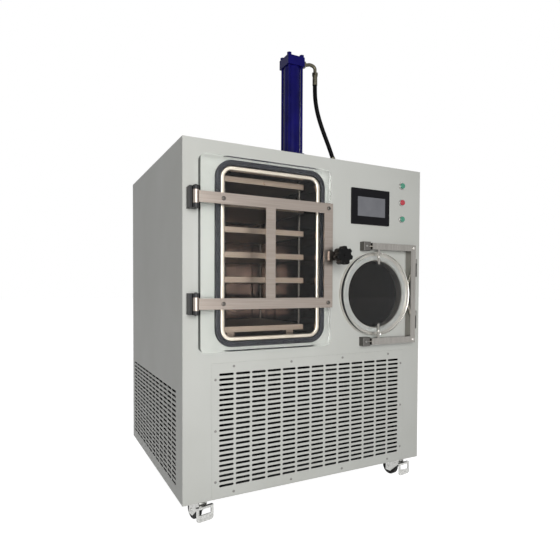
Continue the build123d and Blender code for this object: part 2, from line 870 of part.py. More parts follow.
def star_knob():
    """Seven-lobed hand knob with a hub behind and a small cap in front."""
    back_face = front - knob_back_setout
    body = rod_y(clamp_x, clamp_z, back_face - knob_thickness, back_face, knob_radius)
    for i in range(knob_lobes):
        angle = math.pi / 2 + 2 * math.pi * (i + 0.5) / knob_lobes
        x = clamp_x + knob_radius * math.cos(angle)
        z = clamp_z + knob_radius * math.sin(angle)
        body -= rod_y(x, z, back_face - 2 * knob_thickness, back_face + 1, knob_scallop_radius)
    body = fillet(body.edges().filter_by(Axis.Y), knob_lobe_rounding)
    body = fillet(front_edges(body), knob_edge_rounding)
    body += rod_y(clamp_x, clamp_z, back_face, back_face + knob_hub_height, knob_hub_radius)
    body += rod_y(clamp_x, clamp_z, back_face - knob_thickness - knob_cap_height, back_face - knob_thickness,
                  knob_cap_radius)
    bore_end = back_face - knob_bore_depth + knob_hub_height
    return body - rod_y(clamp_x, clamp_z, bore_end, front, stud_radius + knob_bore_gap)


# ---- cold trap ----
def rod_x(y, z, low, high, radius):
    plane = Plane(origin=(low, y, z), x_dir=(0, 1, 0), z_dir=(1, 0, 0))
    return extrude(plane * Circle(radius), amount=high - low)


def trap_vessel():
    """Round stainless pot: flange and narrower neck in front, blanked side nozzle, vacuum port at the back."""
    rear = front + trap_depth
    nozzle_y = front + nozzle_setback
    nozzle_end = trap_x + trap_bore_radius + trap_wall + nozzle_reach
    body = rod_y(trap_x, trap_z, front - trap_flange_proud, rear, trap_bore_radius + trap_wall)
    body += rod_y(trap_x, trap_z, front - trap_flange_proud, front, trap_flange_radius)
    body += rod_x(nozzle_y, trap_z, trap_x, nozzle_end, nozzle_radius + nozzle_wall)
    body += rod_y(trap_x, trap_z, rear - trap_wall, port_end, port_radius + port_wall)
    body += rod_y(trap_x, trap_z, port_end - port_flange_length, port_end, port_flange_radius)
    body -= rod_y(trap_x, trap_z, front - 2 * trap_flange_proud, rear - trap_wall, trap_neck_radius)
    body -= rod_y(trap_x, trap_z, front + trap_neck_depth, rear - trap_wall, trap_bore_radius)
    body -= rod_x(nozzle_y, trap_z, trap_x, nozzle_end - trap_wall, nozzle_radius)
    return body - rod_y(trap_x, trap_z, rear - 2 * trap_wall, port_end + trap_wall, port_radius)


def trap_coil():
    """Evaporator rings round the outside of the pot, joined by four stays."""
    last = front + coil_setback + (coil_turns - 1) * coil_pitch
    body = None
    for i in range(coil_turns):
        y = front + coil_setback + i * coil_pitch
        turn = Plane(origin=(trap_x, y, trap_z), x_dir=(1, 0, 0), z_dir=(0, -1, 0)) \
            * Torus(coil_radius, coil_pipe_radius)
        body = turn if body is None else body + turn
    for angle in (45, 135, 225, 315):
        reach = coil_radius + coil_pipe_radius
        x = trap_x + reach * math.cos(math.radians(angle))
        z = trap_z + reach * math.sin(math.radians(angle))
        body += block(around(x, stay_width), (front + coil_setback, last), around(z, stay_width))
    return body


def trap_gasket():
    return ring_y(trap_x, trap_z, trap_seal_front, front - trap_flange_proud, trap_seal_outer, trap_seal_inner)


def finger_points():
    offset = yoke_arm_offset - yoke_bar / 2 - finger_reach / 2
    return [(trap_x, trap_z + side * offset) for side in (-1, 1)]


def trap_pane():
    disc = rod_y(trap_x, trap_z, trap_pane_front, trap_pane_back, trap_pane_radius)
    disc = chamfer(disc.edges().filter_by(GeomType.CIRCLE), trap_pane_bevel)
    for x, z in finger_points():
        disc -= rod_y(x, z, trap_pane_front - 1, trap_pane_front + screw_length, screw_radius + screw_clearance)
    return disc


def trap_yoke():
    """C-shaped carrier of the disc: a post by the hinges, two arms with catch tongues and two fingers."""
    y_span = (front - yoke_front, front - yoke_back)
    post_left = left + yoke_post_left
    post_right = post_left + yoke_bar
    arm_left = left + yoke_arm_left
    outer = yoke_arm_offset + yoke_bar / 2
    body = block((post_left, post_right), y_span, (trap_z - outer, trap_z + outer))
    for side in (-1, 1):
        arm_z = trap_z + side * yoke_arm_offset
        body += block((arm_left, post_right), y_span, around(arm_z, yoke_bar))
        finger_end = trap_z + side * (yoke_arm_offset - yoke_bar / 2 - finger_reach)
        body += block(around(trap_x, finger_width), (front - yoke_front, trap_pane_front),
                      sorted((arm_z, finger_end)))
        tongue_y = around(front - (yoke_front + yoke_back) / 2, tongue_depth)
        body += block((arm_left - tongue_length, arm_left), tongue_y, around(arm_z, tongue_thickness))
        body += trap_moving_knuckle(trap_z + side * trap_hinge_offset)
    for x, z in finger_points() + dome_points():
        body -= rod_y(x, z, front - yoke_front - 1, front - yoke_front + screw_length,
                      screw_radius + screw_clearance)
    return body


def trap_moving_knuckle(z):
    """Upper part of a lift-off hinge, with the leaf that joins it to the post."""
    low, high = z + trap_hinge_split + knuckle_gap / 2, z + trap_hinge_height / 2
    knuckle = rod_z(trap_hinge_x, trap_hinge_y, low, high, trap_knuckle_radius)
    leaf = block((left + yoke_post_left + yoke_bar, trap_hinge_x), around(trap_hinge_y, trap_leaf), (low, high))
    return knuckle + leaf - rod_z(trap_hinge_x, trap_hinge_y, low - 1, high - trap_leaf, trap_pin_radius + pin_gap)


def trap_hinges():
    """Lower parts of the lift-off hinges, on leaves screwed to the front panel."""
    halves = []
    for side in (-1, 1):
        z = trap_z + side * trap_hinge_offset
        low, high = z - trap_hinge_height / 2, z + trap_hinge_split - knuckle_gap / 2
        knuckle = rod_z(trap_hinge_x, trap_hinge_y, low, high, trap_knuckle_radius)
        web = block(around(trap_hinge_x, trap_leaf), (trap_hinge_y, front), (low, high))
        leaf = block((trap_hinge_x - trap_leaf / 2, trap_hinge_x + trap_leaf_width), (front - trap_leaf, front),
                     (low, z + trap_hinge_height / 2))
        pin_top = z + trap_hinge_height / 2 - 2 * trap_leaf
        halves.append(knuckle + web + leaf + rod_z(trap_hinge_x, trap_hinge_y, low, pin_top, trap_pin_radius))
    return Compound(halves)


def trap_catches():
    """Two blocks that take the yoke's tongues in a groove that is open to the front."""
    catches = []
    for side in (-1, 1):
        z = trap_z + side * yoke_arm_offset
        block_right = left + yoke_arm_left - catch_gap
        body = block((block_right - catch_width, block_right), (front - catch_depth, front),
                     around(z, catch_height))
        body = fillet(front_edges(body), 2)
        groove_back = front - (yoke_front + yoke_back) / 2 + tongue_depth / 2 + tongue_gap
        groove_left = left + yoke_arm_left - tongue_length - tongue_gap
        groove = block((groove_left, block_right + 1), (front - catch_depth - 1, groove_back),
                       around(z, tongue_thickness + 2 * tongue_gap))
        catches.append(body - groove)
    catches = Compound(catches)
    for x, z in catch_screw_points():
        catches -= rod_y(x, z, front - catch_depth - 1, front - catch_depth + screw_length + 1,
                         screw_radius + screw_clearance)
    return catches


def catch_screw_points():
    x = left + yoke_arm_left - catch_gap - catch_width * (1 - catch_screw_share)
    return [(x, trap_z + side * yoke_arm_offset) for side in (-1, 1)]


def dome_points():
    x = left + yoke_post_left + yoke_bar / 2
    return [(x, trap_z + side * yoke_arm_offset) for side in (-1, 1)]


def trap_screws():
    """Two screws that hold the disc to the fingers and two domed ones at the yoke's corners."""
    face = front - yoke_front
    screws = []
    for x, z in finger_points() + dome_points():
        head = rod_y(x, z, face - dome_height, face, dome_radius)
        head = fillet(front_edges(head), dome_height * 0.85)
        screws.append(head + rod_y(x, z, face, face + screw_length - 1, screw_radius))
    return Compound(screws)


# ---- control panel ----
def hmi_housing():
    x, z = left + hmi_from_left, bottom + hmi_height
    bezel = rounded_slab(x, z, hmi_width, hmi_tall, hmi_radius, front - hmi_proud, front)
    bezel = fillet(front_edges(bezel), 1.5)
    inset = 2 * (hmi_body_inset + hmi_gap)
    body = slab_y(Rectangle(hmi_width - inset, hmi_tall - inset), x, z, front, front + hmi_body_depth)
    pocket = slab_y(Rectangle(screen_width + 2 * screen_gap, screen_tall + 2 * screen_gap),
                    x + screen_from_hmi, z, front - hmi_proud - 1, front - hmi_proud + screen_thickness)
    return bezel + body - pocket


def hmi_screen():
    return slab_y(Rectangle(screen_width, screen_tall), left + hmi_from_left + screen_from_hmi,
                  bottom + hmi_height, front - hmi_proud + screen_gap, front - hmi_proud + screen_thickness)


def button_heights():
    middle = bottom + middle_button_height
    return (middle + button_pitch, middle, middle - button_pitch)


def button_bezel(z):
    x = left + button_from_left
    ring = rod_y(x, z, front - bezel_proud, front, bezel_radius)
    ring = fillet(front_edges(ring), 1.5)
    body = ring + rod_y(x, z, front, front + bezel_body_length, bezel_body_radius)
    body -= rod_y(x, z, front - bezel_proud - 1, front - bezel_proud + pocket_depth, cap_radius + cap_gap)
    return body - rod_y(x, z, front - bezel_proud, front + bezel_body_length + 1, stem_radius + stem_gap)


def button_bezels():
    return Compound([button_bezel(z) for z in button_heights()])


def push_button(z):
    """Domed cap and stem. The cap's back stands off the pocket's floor by the travel and a clearance."""
    x = left + button_from_left
    cap_back = front - bezel_proud + pocket_depth - button_travel - button_clear
    cap_front = front - bezel_proud - cap_proud
    cap = fillet(front_edges(rod_y(x, z, cap_front, cap_back, cap_radius)), 2.5)
    return cap + rod_y(x, z, cap_back, cap_back + stem_length, stem_radius)


# ---- castors ----
def caster_places():
    x, y = right - caster_inset_x, cabinet_depth / 2 - caster_inset_y
    middle = (front + back) / 2
    return {"fl": (-x, middle - y), "fr": (x, middle - y), "rl": (-x, middle + y), "rr": (x, middle + y)}


race_low = bottom - caster_plate_thickness - race_height
fork_high = race_low - race_gap


def caster_plates():
    plates = []
    for x, y in caster_places().values():
        body = block(around(x, caster_plate_length), around(y, caster_plate_width),
                     (bottom - caster_plate_thickness, bottom))
        plates.append(body + rod_z(x, y, race_low, bottom, race_radius))
    return Compound(plates)


def fork_cheek(side):
    """One side plate of a fork, in the fork's own frame: X along the trail, Z up from the floor."""
    inner = wheel_width / 2 + fork_gap
    rear, reach = fork_rim - race_radius, caster_trail + fork_end_reach
    outline = Polyline((rear, fork_high), (race_radius - fork_rim, fork_high), (reach, fork_shoulder),
                       (reach, fork_clearance), (caster_trail - fork_end_reach, fork_clearance),
                       (rear, fork_high - fork_heel), close=True)
    plane = Plane(origin=(0, side * inner, 0), x_dir=(1, 0, 0), z_dir=(0, -1, 0))
    return extrude(plane * make_face(outline), amount=-side * fork_wall)


def pedal_pin():
    """Place of the brake pedal's pin in the fork's frame."""
    return (pedal_pin_inset - race_radius, fork_high - fork_top - pedal_pin_drop)


def caster_fork(has_pedal):
    disc = rod_z(0, 0, fork_high - fork_top, fork_high, race_radius)
    body = disc + fork_cheek(1) + fork_cheek(-1)
    half = wheel_width / 2 + fork_gap + fork_wall
    body += rod_y(caster_trail, wheel_radius, -half - 2, half + 2, axle_radius)
    if has_pedal:
        x, z = pedal_pin()
        body += rod_y(x, z, -half, half, pedal_pin_radius)
    return body


def caster_wheel():
    tread = rod_y(caster_trail, wheel_radius, -wheel_width / 2, wheel_width / 2, wheel_radius)
    tread = fillet(tread.edges().filter_by(GeomType.CIRCLE), 4)
    tread -= rod_y(caster_trail, wheel_radius, -wheel_width, -hub_width / 2, hub_radius)
    tread -= rod_y(caster_trail, wheel_radius, hub_width / 2, wheel_width, hub_radius)
    return tread - rod_y(caster_trail, wheel_radius, -wheel_width, wheel_width, axle_radius + axle_gap)


def brake_pedal():
    """Broad pedal on a narrow neck, with a front plate that has a window to the foot's lever."""
    x, z = pedal_pin()
    body = rod_y(x, z, -pedal_neck_width / 2, pedal_neck_width / 2, pedal_pin_radius + pedal_thickness)
    body += block((x - pedal_length, x), around(0, pedal_neck_width), (z, z + pedal_thickness))
    body += block((x - pedal_length, x - pedal_neck), around(0, pedal_width), (z, z + pedal_thickness))
    plate = (x - pedal_length, x - pedal_length + pedal_thickness)
    front_plate = block(plate, around(0, pedal_width), (z - pedal_drop, z + pedal_thickness))
    body += fillet(front_plate.edges().filter_by(Axis.X).group_by(Axis.Z)[0], pedal_corner)
    past = (plate[0] - pedal_thickness, plate[1] + pedal_thickness)
    body -= block(past, around(0, window_width), around(z - window_drop, window_height))
    return body - rod_y(x, z, -pedal_width, pedal_width, pedal_pin_radius + pedal_gap / 2)


# ---- refrigeration ----
def compressor():
    x, y = left + compressor_from_left, front + compressor_setback
    low = bottom + frame_wall
    body = rod_z(x, y, low + compressor_foot, low + compressor_height, compressor_radius)
    ends = body.edges().filter_by(GeomType.CIRCLE)
    body = fillet(ends, compressor_radius * 0.35)
    body += rod_z(x, y, low + compressor_foot, low + 2 * compressor_foot, compressor_radius * 0.7)
    side = 2 * compressor_radius
    return body + block(around(x, side), around(y, side), (low, low + compressor_foot))


def fan_centre():
    z = bottom + condenser_lift + condenser_height / 2
    return (left + condenser_from_left, z)


def condenser():
    """Finned heat exchanger with end sheets, a fan ring and a motor carried on two bars."""
    x, z = fan_centre()
    near, far = front + condenser_setback, front + condenser_setback + condenser_depth
    low, high = z - condenser_height / 2, z + condenser_height / 2
    half = condenser_width / 2
    body = block((x - half, x - half + fin_thickness), (near, far), (bottom + frame_wall, high))
    body += block((x + half - fin_thickness, x + half), (near, far), (bottom + frame_wall, high))
    for i in range(5):
        level = low + condenser_height * (i + 0.5) / 5
        body += block((x - half, x + half), around((near + far) / 2, condenser_depth / 4), around(level, 10))
    for i in range(1, int(condenser_width / fin_pitch)):
        body += block(around(x - half + i * fin_pitch, fin_thickness), (near, far), (low, high))
    shroud = block((x - half, x + half), (far, far + fin_thickness), (low, high))
    shroud += rod_y(x, z, far, far + fan_depth, fan_radius + fan_gap + fin_thickness)
    shroud -= rod_y(x, z, far - 1, far + fan_depth + 1, fan_radius + fan_gap)
    motor_near = far + fan_depth + fan_gap
    for side in (-1, 1):
        shroud += block(around(x + side * motor_radius / 2, fin_thickness), (far + fan_depth, motor_near + motor_length),
                        (z - fan_radius - fan_gap - fin_thickness, z + fan_radius + fan_gap + fin_thickness))
    shroud += rod_y(x, z, motor_near, motor_near + motor_length, motor_radius)
    shroud += rod_y(x, z, far + fan_gap, motor_near, fan_shaft_radius)
    return body + shroud


def fan_impeller():
    x, z = fan_centre()
    near = front + condenser_setback + condenser_depth + fan_gap
    far = near + fan_depth - 2 * fan_gap
    hub = rod_y(x, z, near, far, fan_hub_radius)
    for i in range(fan_blades):
        blade = Pos(0, (near + far) / 2, (fan_hub_radius + fan_radius) / 2) \
            * Rot(0, 0, 28) * Box(fan_radius * 0.42, 3, fan_radius - fan_hub_radius + 8)
        turned = Rot(0, 360 * i / fan_blades, 0) * blade
        hub += Pos(x, 0, z) * turned
    hub &= rod_y(x, z, near - fan_gap, far + fan_gap, fan_radius)
    return hub - rod_y(x, z, near - 1, far + 1, fan_shaft_radius + fan_shaft_gap)


def build_all():
    save("frame", frame())
    save("front_panel", front_panel())
    save("front_grille", front_grille())
    save("left_panel", left_panel())
    save("right_panel", right_panel())
    save("rear_panel", rear_panel())
    save("top_panel", top_panel())
    save("panel_screws", panel_screws())
    save("drying_chamber", drying_chamber())
    save("chamber_gasket", chamber_gasket())
    save("press_plate", press_plate())
    for i in range(shelf_count):
        save("shelf_" + str(i + 1), sliding_plate(press_plate_z - (i + 1) * shelf_pitch))
    save("base_shelf", base_shelf())
    save("guide_rods", guide_rods())
    save("piston_rod", piston_rod())
    save("cylinder_head", cylinder_head())
    save("cylinder_barrel", cylinder_barrel())
    save("cylinder_cap", cylinder_cap())
    save("tie_rods", tie_rods())
    save("hose_elbow", hose_elbow())
    save("pressure_hose", pressure_hose())
    save("hose_bulkhead", hose_bulkhead())
    save("door_pane", door_pane())
    save("door_straps", door_straps())
    save("strap_bolts", strap_bolts())
    save("hinge_brackets", hinge_brackets())
    save("clamp_stud", clamp_stud())
    save("star_knob", star_knob())
    save("trap_vessel", trap_vessel())
    save("trap_coil", trap_coil())
    save("trap_gasket", trap_gasket())
    save("trap_pane", trap_pane())
    save("trap_yoke", trap_yoke())
    save("trap_hinges", trap_hinges())
    save("trap_catches", trap_catches())
    save("trap_screws", trap_screws())
    save("hmi_housing", hmi_housing())
    save("hmi_screen", hmi_screen())
    save("button_bezels", button_bezels())
    for node, z in zip(("upper_button", "stop_button", "lower_button"), button_heights()):
        save(node, push_button(z))
    save("caster_plates", caster_plates())
    for corner, (x, y) in caster_places().items():
        place = Pos(x, y, 0) * Rot(0, 0, fork_swing[corner])
        has_pedal = corner in ("fl", "fr")
        save("caster_fork_" + corner, place * caster_fork(has_pedal))
        save("caster_wheel_" + corner, place * caster_wheel())
        if has_pedal:
            save("brake_pedal_" + corner, place * brake_pedal())
    save("compressor", compressor())
    save("condenser", condenser())
    save("fan_impeller", fan_impeller())


os.makedirs("parts", exist_ok=True)
build_all()
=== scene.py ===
import math

import bmesh
import bpy
from mathutils import Matrix, Vector


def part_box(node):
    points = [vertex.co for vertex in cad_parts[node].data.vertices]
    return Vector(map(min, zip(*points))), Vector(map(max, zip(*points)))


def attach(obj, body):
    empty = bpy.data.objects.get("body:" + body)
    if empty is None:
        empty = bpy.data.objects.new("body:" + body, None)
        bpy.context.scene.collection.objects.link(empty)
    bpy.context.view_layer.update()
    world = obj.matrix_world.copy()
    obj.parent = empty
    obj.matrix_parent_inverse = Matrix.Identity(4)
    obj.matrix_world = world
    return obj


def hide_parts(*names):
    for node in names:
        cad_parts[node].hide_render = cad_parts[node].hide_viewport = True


bl_info = {
    "name": "Pilot freeze dryer",
    "version": (1, 0, 0),
    "blender": (4, 5, 0),
    "location": "View3D > Sidebar > Freeze dryer",
    "description": "Finishes, hose and stage of a pilot freeze dryer on castors",
    "category": "Object",
}

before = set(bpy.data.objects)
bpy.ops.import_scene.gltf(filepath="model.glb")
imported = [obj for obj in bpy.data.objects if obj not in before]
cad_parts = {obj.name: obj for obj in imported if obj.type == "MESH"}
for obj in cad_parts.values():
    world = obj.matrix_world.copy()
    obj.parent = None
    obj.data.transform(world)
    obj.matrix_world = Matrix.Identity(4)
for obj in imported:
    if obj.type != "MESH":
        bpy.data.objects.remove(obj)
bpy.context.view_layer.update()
MM = 0.001
# How far the ground rims, whose pale colour is a painted highlight, reach back from the front of the
# chamber and of the cold trap; behind them the steel's colour is darkened as painted shade.
RIM_DEPTH = 6 * MM
NECK_DEPTH = 33 * MM
# The side panels' edges butt against the front and rear panels, which are this thick.
SHEET = 2 * MM
# The painted shade inside the cabinet starts this far under the outside of the panels.
INSIDE_SHADE_DEPTH_MM = 0.8
# Roughness of the painted shade within the cabinet.
INSIDE_SHADE_ROUGHNESS = 0.9
GROUND_RIM_ROUGHNESS = 0.38
# Noise lies mostly between these two values, so patterns are spread over them.
NOISE_LOW, NOISE_HIGH = 0.3, 0.7
# A powder coat's shade drifts a little over about this length.
COAT_DRIFT_MM = 260
WHITE = (1, 1, 1, 1)

# Where the camera stands, in metres, and how it is turned, in degrees.
CAMERA_PLACE = (-0.9744, -1.9545, 0.8337)
CAMERA_YAW, CAMERA_PITCH, CAMERA_ROLL = 27.696, -1.332, 0.2435
LENS_MM, SENSOR_MM = 30.418, 36.0
LENS_SHIFT = (-0.001, 0.0324)

# Each lamp's place, the point it faces and the side of its square, in metres.
KEY_LAMP = ((-0.95, -2.9, 1.15), (0.0, -0.4, 0.75), 1.8)
BACK_LAMP = ((2.6, 3.2, 2.0), (0.0, 0.3, 0.8), 2.2)

# The floor's grey as the machine gets it and as the eye sees it, and the glow that the eye sees on top.
FLOOR_GREY_LIT, FLOOR_GREY_SEEN = 0.25, 0.9
FLOOR_GLOW, FLOOR_GLOW_SHARE = 1.5, 0.65

# The hose's line, from the fitting on the cylinder down to the bulkhead, in metres.
HOSE_ROUTE = [
    (0.0555, -0.2865, 1.6590),
    (0.0555, -0.2865, 1.6230),
    (0.0607, -0.2865, 1.5810),
    (0.0720, -0.2865, 1.5380),
    (0.0887, -0.2865, 1.4960),
    (0.1081, -0.2865, 1.4550),
    (0.1281, -0.2865, 1.4145),
    (0.1437, -0.2865, 1.3780),
]


# ---- small tools shared by all the finishes ----
def linear(code):
    """A colour written as sRGB hex, such as 'C8C9C4', as linear RGBA."""
    channels = [int(code[i:i + 2], 16) / 255 for i in (0, 2, 4)]
    red, green, blue = (c / 12.92 if c <= 0.04045 else ((c + 0.055) / 1.055) ** 2.4 for c in channels)
    return red, green, blue, 1.0


def add(tree, kind, sockets=None, **properties):
    """Adds a node, sets its properties, and fills or links its sockets."""
    node = tree.nodes.new(kind)
    for name, value in properties.items():
        setattr(node, name, value)
    for key, value in (sockets or {}).items():
        if isinstance(value, bpy.types.NodeSocket):
            tree.links.new(value, node.inputs[key])
        else:
            node.inputs[key].default_value = value
    return node


def start_material(name, **shader_values):
    """A fresh material with one Principled shader, and its node tree."""
    material = bpy.data.materials.new(name)
    material.use_nodes = True
    tree = material.node_tree
    tree.nodes.clear()
    sockets = {key.replace("_", " "): value for key, value in shader_values.items()}
    shader = add(tree, "ShaderNodeBsdfPrincipled", sockets)
    add(tree, "ShaderNodeOutputMaterial", {"Surface": shader.outputs[0]})
    return material, tree, shader


def speckle(tree, size_mm, stretch=(1, 1, 1), detail=2.0):
    """Soft random spots about size_mm across, drawn out along an axis where stretch is under 1."""
    place = add(tree, "ShaderNodeTexCoord").outputs["Object"]
    per_metre = 1000 / size_mm
    scale = [per_metre * s for s in stretch]
    mapped = add(tree, "ShaderNodeMapping", {"Vector": place, "Scale": scale}).outputs[0]
    noise = add(tree, "ShaderNodeTexNoise", {"Vector": mapped, "Scale": 1.0, "Detail": detail})
    return noise.outputs["Fac"]


def between(tree, factor, low, high):
    """A number that goes from low to high as the factor goes over the middle of its range."""
    sockets = {"Value": factor, "From Min": NOISE_LOW, "From Max": NOISE_HIGH,
               "To Min": low, "To Max": high}
    return add(tree, "ShaderNodeMapRange", sockets).outputs[0]


def tint(tree, factor, dark, light):
    """A colour that goes from one hex code to another as the factor goes over the middle of its range."""
    ramp = add(tree, "ShaderNodeValToRGB", {"Fac": factor})
    for end, place, code in zip(ramp.color_ramp.elements, (NOISE_LOW, NOISE_HIGH), (dark, light)):
        end.position = place
        end.color = linear(code)
    return ramp.outputs[0]


def blend(tree, factor, first, second):
    """A colour that goes from the first to the second as the factor goes from 0 to 1."""
    sockets = {"Factor": factor, 6: first, 7: second}
    return add(tree, "ShaderNodeMix", sockets, data_type="RGBA").outputs[2]


def ramp_to(tree, factor, low, high):
    """A number that goes from low to high as the factor goes from 0 to 1."""
    return add(tree, "ShaderNodeMapRange", {"Value": factor, "To Min": low, "To Max": high}).outputs[0]


def math_node(tree, operation, first, second):
    """The first and the second value put through one sum or comparison."""
    return add(tree, "ShaderNodeMath", {0: first, 1: second}, operation=operation).outputs[0]


def behind(tree, edge):
    """1 where the surface is further back than edge, in metres, and 0 in front of it."""
    place = add(tree, "ShaderNodeTexCoord").outputs["Object"]
    depth = add(tree, "ShaderNodeSeparateXYZ", {0: place}).outputs["Y"]
    return math_node(tree, "GREATER_THAN", depth, edge)


def within(tree, low, high, skin_mm):
    """1 on surfaces that lie more than skin_mm inside a box, and 0 on the box's outside."""
    place = add(tree, "ShaderNodeTexCoord").outputs["Object"]
    middle = [(a + b) / 2 for a, b in zip(low, high)]
    half = [(b - a) / 2 - skin_mm * MM for a, b in zip(low, high)]
    offset = add(tree, "ShaderNodeVectorMath", {0: place, 1: middle}, operation="SUBTRACT").outputs[0]
    size = add(tree, "ShaderNodeVectorMath", {0: offset}, operation="ABSOLUTE").outputs[0]
    over = add(tree, "ShaderNodeVectorMath", {0: size, 1: half}, operation="SUBTRACT").outputs[0]
    axes = add(tree, "ShaderNodeSeparateXYZ", {0: over}).outputs
    wide = math_node(tree, "MAXIMUM", axes["X"], axes["Y"])
    most = math_node(tree, "MAXIMUM", wide, axes["Z"])
    return math_node(tree, "LESS_THAN", most, 0.0)


def emboss(tree, shader, height, depth_mm, strength):
    """Raises the surface by a pattern, depth_mm from its low to its high parts."""
    sockets = {"Height": height, "Distance": depth_mm * MM, "Strength": strength}
    bump = add(tree, "ShaderNodeBump", sockets)
    tree.links.new(bump.outputs[0], shader.inputs["Normal"])


def mix_surface(tree, factor, shader, second):
    """Puts a mix of the shader, at factor 0, and a second one, at 1, on the surface."""
    mixed = add(tree, "ShaderNodeMixShader", {0: factor, 1: shader.outputs[0], 2: second}).outputs[0]
    output = next(node for node in tree.nodes if node.type == "OUTPUT_MATERIAL")
    tree.links.new(mixed, output.inputs["Surface"])


def front_of(node):
    """The Y of a CAD node's front, in metres."""
    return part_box(node)[0][1]


def dress(material, *nodes):
    """Gives CAD nodes their finish."""
    for node in nodes:
        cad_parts[node].material_slots[0].material = material


# ---- finishes, each named for the real material ----
def orange_peel(tree, shader):
    """The slight waves of a baked powder coat."""
    # They are about 2 mm across, too fine to show from a step away, so they are drawn at 5 mm.
    emboss(tree, shader, speckle(tree, 5.0), depth_mm=0.06, strength=0.35)


def powder_coated_steel(name, dark, light, rough):
    """Baked powder coat on sheet steel. It gives a soft satin sheen with a slight orange peel."""
    material, tree, shader = start_material(name, Roughness=rough, Specular_IOR_Level=0.25)
    tree.links.new(tint(tree, speckle(tree, COAT_DRIFT_MM), dark, light), shader.inputs["Base Color"])
    orange_peel(tree, shader)
    return material


def sheet_steel_shaded_inside(name, dark, light, rough, low, high):
    """Powder-coated panels whose faces within the cabinet are painted near black as painted shade, which
    keeps the view through the slots dark.
    """
    material, tree, shader = start_material(name, Specular_IOR_Level=0.25)
    cabinet_inside_shade = within(tree, low, high, INSIDE_SHADE_DEPTH_MM)
    paint = tint(tree, speckle(tree, COAT_DRIFT_MM), dark, light)
    # The painted shade within the cabinet is mottled at about 4 mm.
    inside_shade_mottle = tint(tree, speckle(tree, 4), "0C0C0D", "161617")
    # Painted shade: the panels' faces within the cabinet turn near black.
    tree.links.new(blend(tree, cabinet_inside_shade, paint, inside_shade_mottle), shader.inputs["Base Color"])
    tree.links.new(ramp_to(tree, cabinet_inside_shade, rough, INSIDE_SHADE_ROUGHNESS), shader.inputs["Roughness"])
    orange_peel(tree, shader)
    return material


def brushed_stainless(name, dark, light, rough, along):
    """Stainless steel ground on a belt. It gives fine streaks one way and a broad gleam across them."""
    stretch = [0.02 if axis == along else 1 for axis in "XYZ"]
    material, tree, shader = start_material(name, Metallic=1.0)
    # Belt marks are 0.2 mm wide, too fine to show, so they are drawn 3 mm wide.
    streaks = speckle(tree, 3.0, stretch, detail=3.0)
    tree.links.new(tint(tree, streaks, dark, light), shader.inputs["Base Color"])
    tree.links.new(between(tree, streaks, rough - 0.02, rough + 0.03), shader.inputs["Roughness"])
    emboss(tree, shader, streaks, depth_mm=0.01, strength=0.05)
    return material


def vessel_steel_painted_light(name, highlight_rim_dark, highlight_rim_light, shaded_inside_dark, shaded_inside_light, edge, rough):
    """Welded stainless vessel. It gives a ground rim whose pale colour is a painted highlight, and an
    electropolished inside whose dim colour is painted shade.
    """
    material, tree, shader = start_material(name, Metallic=1.0)
    inner = behind(tree, edge)
    # Grinding and polishing leave clouds 20 to 50 mm across.
    clouds = speckle(tree, 35, detail=1.0)
    # Painted light: the rim's colours are lifted as painted highlight and the inside's colours are darkened
    # as painted shade.
    rim, inside = tint(tree, clouds, highlight_rim_dark, highlight_rim_light), tint(tree, clouds, shaded_inside_dark, shaded_inside_light)
    tree.links.new(blend(tree, inner, rim, inside), shader.inputs["Base Color"])
    tree.links.new(ramp_to(tree, inner, GROUND_RIM_ROUGHNESS, rough), shader.inputs["Roughness"])
    return material


def turned_steel(name, colour, rough):
    """Bright turned or plated steel. It gives a sharp gleam with faint cloudy handling marks."""
    material, tree, shader = start_material(name, Metallic=1.0, Base_Color=linear(colour))
    tree.links.new(between(tree, speckle(tree, 14), rough - 0.04, rough + 0.08), shader.inputs["Roughness"])
    return material


def zinc_plated_steel():
    """Pressed sheet with a zinc plating. It gives small pale and grey crystals and a dull gleam."""
    material, tree, shader = start_material("zinc_plated_steel", Metallic=1.0)
    # Zinc crystals are 3 to 8 mm across.
    crystals = speckle(tree, 6.0, detail=1.0)
    tree.links.new(tint(tree, crystals, "A9A9A6", "D2D2CF"), shader.inputs["Base Color"])
    tree.links.new(between(tree, crystals, 0.25, 0.42), shader.inputs["Roughness"])
    return material


def moulded_silicone(name, dark, light):
    """Moulded silicone rubber of a seal. It gives a matt even colour with a little bloom."""
    material, tree, shader = start_material(name, IOR=1.41)
    bloom = speckle(tree, 18)
    tree.links.new(tint(tree, bloom, dark, light), shader.inputs["Base Color"])
    tree.links.new(between(tree, bloom, 0.42, 0.56), shader.inputs["Roughness"])
    return material


def cast_acrylic(name, body):
    """Thick cast acrylic sheet with polished edges. It is clear, bends the view and has bright edges."""
    values = {"Base_Color": linear(body), "Roughness": 0.015, "IOR": 1.49, "Transmission_Weight": 1.0,
              "Specular_Tint": linear("8A8A8A")}
    material, tree, shader = start_material(name, **values)
    through = add(tree, "ShaderNodeBsdfTransparent", {"Color": linear("E6E9E9")}).outputs[0]
    # Lamps shine straight through the sheet, so that what is behind it is lit.
    lamp = add(tree, "ShaderNodeLightPath").outputs["Is Shadow Ray"]
    mix_surface(tree, lamp, shader, through)
    return material


def gloss_enamel(name, dark, light):
    """Sprayed machine enamel. It gives a deep colour with long narrow highlights."""
    material, tree, shader = start_material(name, Roughness=0.28, Specular_IOR_Level=0.06)
    tree.links.new(tint(tree, speckle(tree, 60), dark, light), shader.inputs["Base Color"])
    # Spray texture is about 1 mm across and is drawn at 4 mm.
    emboss(tree, shader, speckle(tree, 4.0), depth_mm=0.04, strength=0.3)
    return material


def extruded_rubber():
    """Extruded rubber cover of the hose. It gives a smooth black with a soft sheen."""
    material, tree, shader = start_material("extruded_rubber", IOR=1.5, Specular_IOR_Level=0.04)
    scuffs = speckle(tree, 9)
    tree.links.new(tint(tree, scuffs, "060606", "0F0F10"), shader.inputs["Base Color"])
    tree.links.new(between(tree, scuffs, 0.34, 0.5), shader.inputs["Roughness"])
    return material


